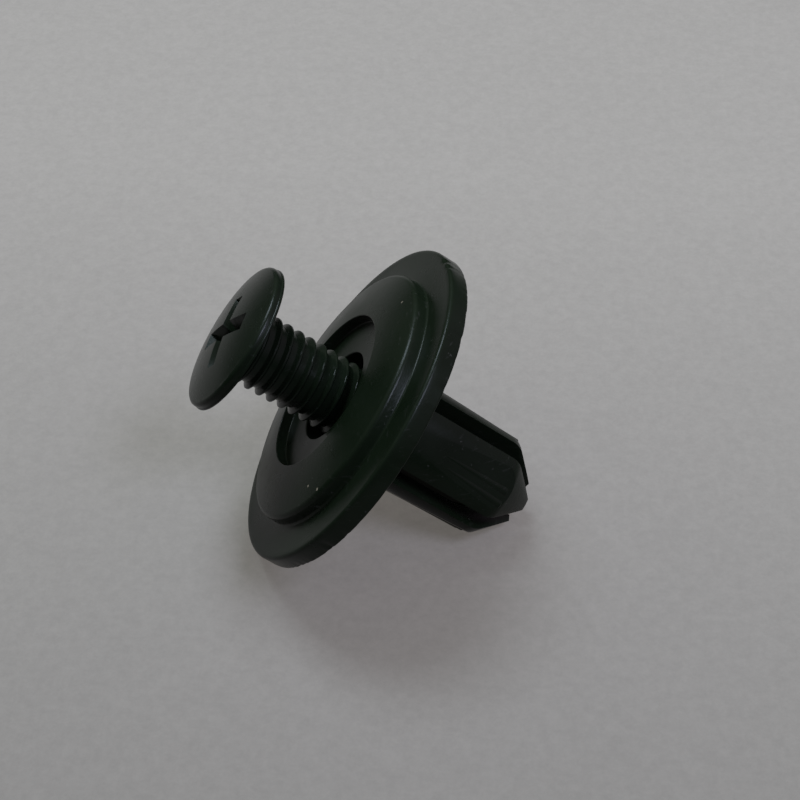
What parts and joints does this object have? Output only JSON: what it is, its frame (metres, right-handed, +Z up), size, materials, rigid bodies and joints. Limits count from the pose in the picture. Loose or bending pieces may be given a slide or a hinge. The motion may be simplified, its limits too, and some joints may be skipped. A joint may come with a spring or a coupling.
{
  "type": "plastic push rivet",
  "caption": "Black plastic push rivet with a stepped round flange, split legs and a threaded pin with a cross-recess head, part way out.",
  "frame": {"origin": "centre of the flange's seating face, on the rivet's axis", "axes": "+Z up with the rivet lying as it comes to rest; the rivet's axis lies in the X-Z plane, legs towards +X and down, head towards -X and up"},
  "size_m": [0.0234, 0.024, 0.0203],
  "materials": {
    "grommet_plastic": "fine moulded grain, satin black",
    "pin_plastic": "smooth moulded satin black, glossier on the thread"
  },
  "bodies": {
    "grommet": {"grommet": "grommet_plastic"},
    "pin": {"screw_pin": "pin_plastic"}
  },
  "joints": [
    {"name": "pin_slide", "type": "slide", "parent": "grommet", "child": "pin", "axis": [0.801, 0, -0.5986], "range_m": [0, 0.0077]}
  ]
}
